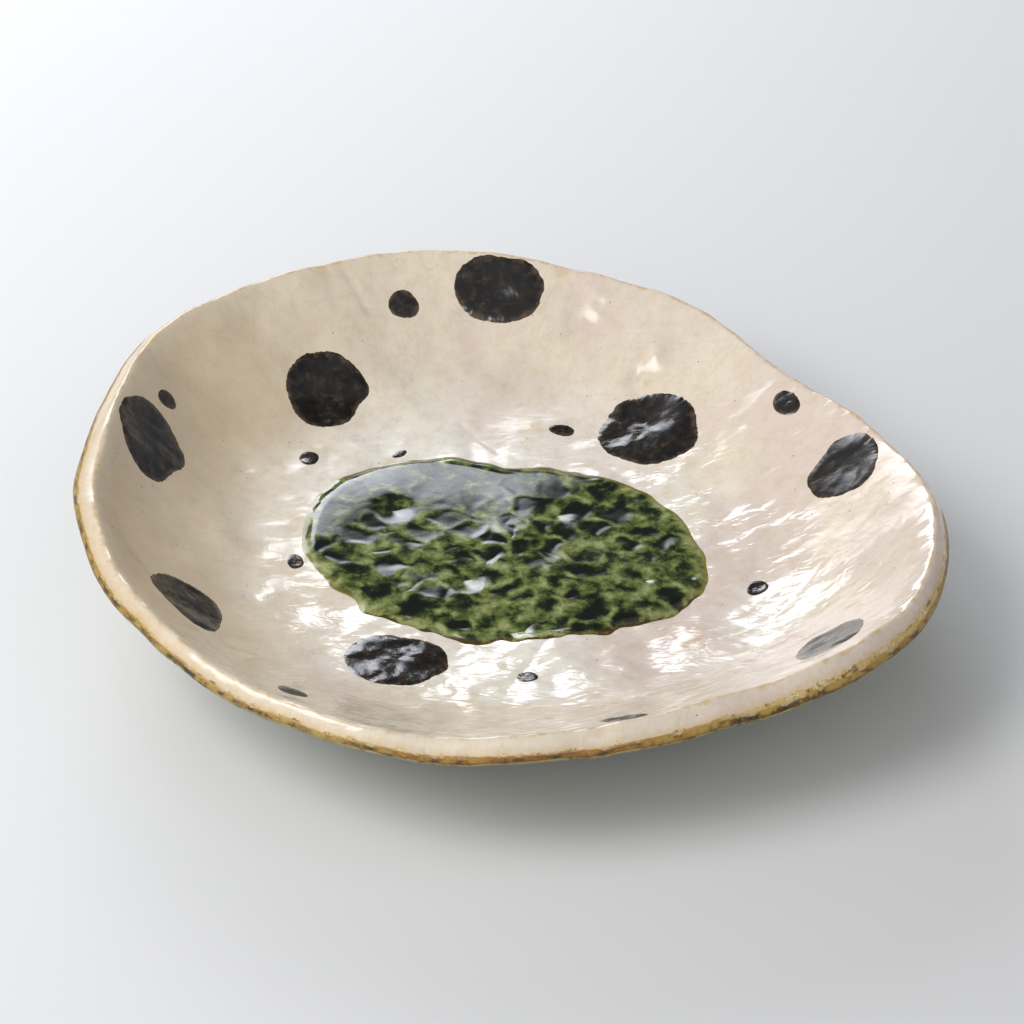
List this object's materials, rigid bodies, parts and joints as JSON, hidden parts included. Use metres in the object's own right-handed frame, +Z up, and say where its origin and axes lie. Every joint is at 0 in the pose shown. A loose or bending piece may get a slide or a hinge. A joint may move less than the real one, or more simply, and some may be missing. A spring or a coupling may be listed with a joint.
{
  "type": "serving plate",
  "caption": "Hand-built free-form stoneware serving plate on a ring foot, with cream glaze, dark iron spots and a pool of green glass in its well.",
  "frame": {"origin": "on the table under the middle of the plate's bounding box", "axes": "+Z up out of the well, +X towards the plate's right-hand corner, +Y towards its back"},
  "size_m": [0.2922, 0.2878, 0.0578],
  "materials": {
    "stoneware": "bare fired clay, matt",
    "cream_glaze": "glossy cream feldspar glaze",
    "underside_glaze": "thin grey-green ash glaze",
    "green_glass": "thick glossy copper-green glass",
    "iron_pigment": "black-brown iron pigment, satin to glossy"
  },
  "bodies": {
    "root": {"stoneware_slab": "stoneware", "foot_ring": "stoneware", "cream_glaze": "cream_glaze", "underside_glaze": "underside_glaze", "green_glass_pool": "green_glass", "iron_spot_back": "iron_pigment", "iron_spot_back_left": "iron_pigment", "iron_spot_left": "iron_pigment", "iron_spot_front_left": "iron_pigment", "iron_spot_front": "iron_pigment", "iron_spot_back_right": "iron_pigment", "iron_spot_right": "iron_pigment", "iron_spot_front_right": "iron_pigment", "iron_spot_front_rim": "iron_pigment", "iron_dot_back": "iron_pigment", "iron_dot_left": "iron_pigment", "iron_dot_back_left": "iron_pigment", "iron_dot_behind_pool": "iron_pigment", "iron_dot_back_right": "iron_pigment", "iron_dot_right": "iron_pigment", "iron_dot_front": "iron_pigment", "iron_dot_beside_pool": "iron_pigment", "iron_dot_front_left": "iron_pigment", "iron_dot_pool_edge": "iron_pigment"}
  },
  "joints": []
}
